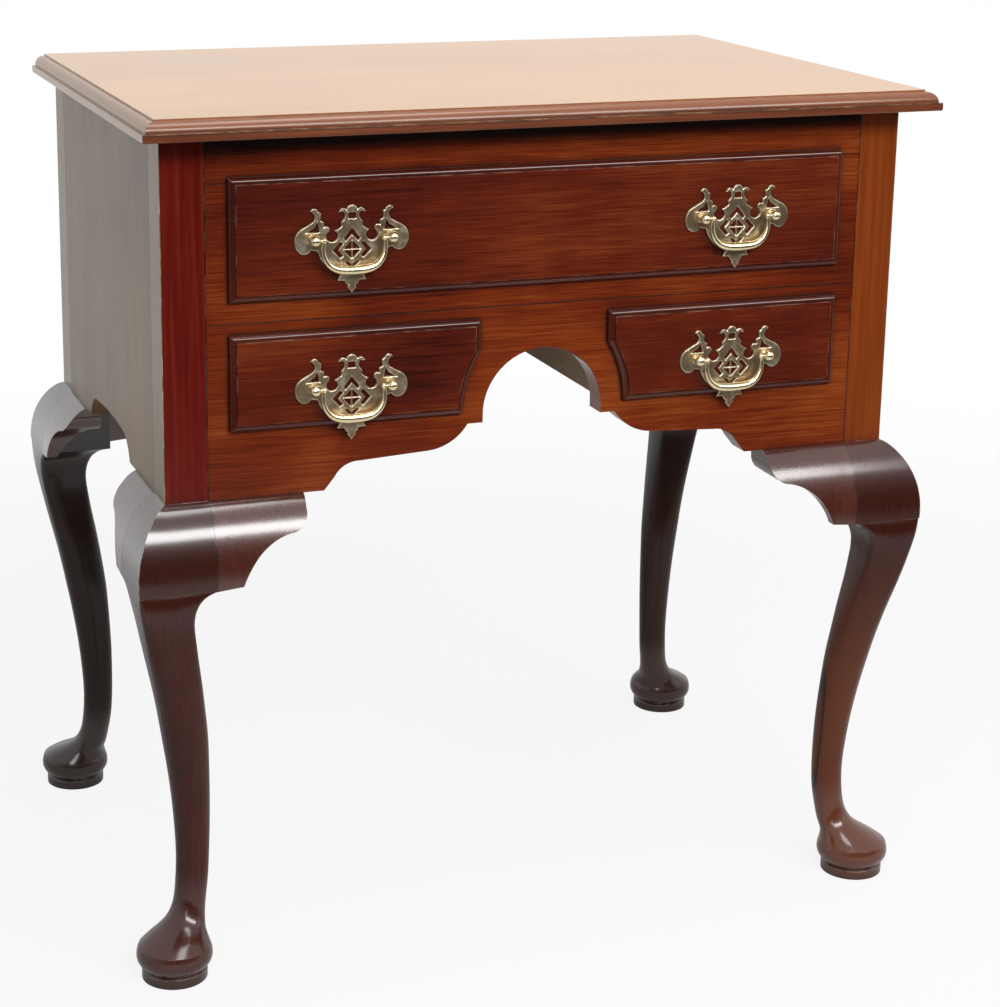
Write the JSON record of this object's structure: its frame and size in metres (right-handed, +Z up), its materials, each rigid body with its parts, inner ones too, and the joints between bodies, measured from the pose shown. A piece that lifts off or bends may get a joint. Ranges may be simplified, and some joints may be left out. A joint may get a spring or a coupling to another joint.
{
  "type": "lowboy",
  "caption": "Lowboy in a Georgian style: moulded top, a long drawer over short shaped drawers beside an arched apron, cabriole legs with pad feet and pierced brass bail handles.",
  "frame": {"origin": "On the floor, under the middle of the whole piece's outline.", "axes": "+X is to the right of someone who faces the drawers, +Y runs from the front to the back and +Z is up."},
  "size_m": [0.6918, 0.4816, 0.711],
  "materials": {
    "wood_top": "waxed mahogany, faded a little paler than the case",
    "wood_side": "waxed mahogany, upright grain",
    "wood_rail": "waxed mahogany, level grain, orange brown",
    "wood_drawer_front": "waxed mahogany, darker and redder than the rails",
    "wood_leg": "polished dark mahogany with worn arrises",
    "wood_ear": "polished mahogany, redder than the legs",
    "wood_lining": "plain planed oak",
    "wood_inside": "plain planed pine, unfinished",
    "brass_plate": "antique brass with brighter bevelled edges",
    "brass_polished": "brass kept bright by handling"
  },
  "bodies": {
    "case": {"top": "wood_top", "leg_front_left": "wood_leg", "leg_front_right": "wood_leg", "leg_back_left": "wood_leg", "leg_back_right": "wood_leg", "ear_front_left": "wood_ear", "ear_side_front_left": "wood_ear", "ear_side_back_left": "wood_ear", "side_panel_left": "wood_side", "long_drawer_runner_left": "wood_inside", "long_drawer_guide_left": "wood_inside", "long_drawer_kicker_left": "wood_inside", "lower_drawer_runner_left": "wood_inside", "lower_drawer_guide_left": "wood_inside", "partition_left": "wood_inside", "inner_runner_left": "wood_inside", "ear_front_right": "wood_ear", "ear_side_front_right": "wood_ear", "ear_side_back_right": "wood_ear", "side_panel_right": "wood_side", "long_drawer_runner_right": "wood_inside", "long_drawer_guide_right": "wood_inside", "long_drawer_kicker_right": "wood_inside", "lower_drawer_runner_right": "wood_inside", "lower_drawer_guide_right": "wood_inside", "partition_right": "wood_inside", "inner_runner_right": "wood_inside", "top_rail": "wood_rail", "drawer_rail": "wood_rail", "apron": "wood_rail", "back_board": "wood_inside", "glue_blocks": "wood_inside", "ears_back": "wood_ear"},
    "long_drawer": {"long_drawer_front": "wood_drawer_front", "long_drawer_side_left": "wood_lining", "long_drawer_side_right": "wood_lining", "long_drawer_back": "wood_lining", "long_drawer_bottom": "wood_lining", "plate_long_left": "brass_plate", "posts_long_left": "brass_polished", "plate_long_right": "brass_plate", "posts_long_right": "brass_polished"},
    "left_drawer": {"left_drawer_front": "wood_drawer_front", "left_drawer_side_inner": "wood_lining", "left_drawer_side_outer": "wood_lining", "left_drawer_back": "wood_lining", "left_drawer_bottom": "wood_lining", "plate_lower_left": "brass_plate", "posts_lower_left": "brass_polished"},
    "right_drawer": {"right_drawer_front": "wood_drawer_front", "right_drawer_side_inner": "wood_lining", "right_drawer_side_outer": "wood_lining", "right_drawer_back": "wood_lining", "right_drawer_bottom": "wood_lining", "plate_lower_right": "brass_plate", "posts_lower_right": "brass_polished"},
    "bail_long_left": {"bail_long_left": "brass_polished"},
    "bail_long_right": {"bail_long_right": "brass_polished"},
    "bail_lower_left": {"bail_lower_left": "brass_polished"},
    "bail_lower_right": {"bail_lower_right": "brass_polished"}
  },
  "joints": [
    {"name": "long_drawer_slide", "type": "slide", "parent": "case", "child": "long_drawer", "axis": [0, -1, 0], "range_m": [0, 0.3]},
    {"name": "left_drawer_slide", "type": "slide", "parent": "case", "child": "left_drawer", "axis": [0, -1, 0], "range_m": [0, 0.3]},
    {"name": "right_drawer_slide", "type": "slide", "parent": "case", "child": "right_drawer", "axis": [0, -1, 0], "range_m": [0, 0.3]},
    {"name": "bail_long_left_hinge", "type": "hinge", "parent": "long_drawer", "child": "bail_long_left", "pos_m": [-0.166, -0.2193, 0.61052], "axis": [-1, 0, 0], "range_deg": [-3, 170]},
    {"name": "bail_long_right_hinge", "type": "hinge", "parent": "long_drawer", "child": "bail_long_right", "pos_m": [0.166, -0.2193, 0.61052], "axis": [-1, 0, 0], "range_deg": [-3, 170]},
    {"name": "bail_lower_left_hinge", "type": "hinge", "parent": "left_drawer", "child": "bail_lower_left", "pos_m": [-0.166, -0.2193, 0.49137], "axis": [-1, 0, 0], "range_deg": [-3, 170]},
    {"name": "bail_lower_right_hinge", "type": "hinge", "parent": "right_drawer", "child": "bail_lower_right", "pos_m": [0.166, -0.2193, 0.49137], "axis": [-1, 0, 0], "range_deg": [-3, 170]}
  ]
}
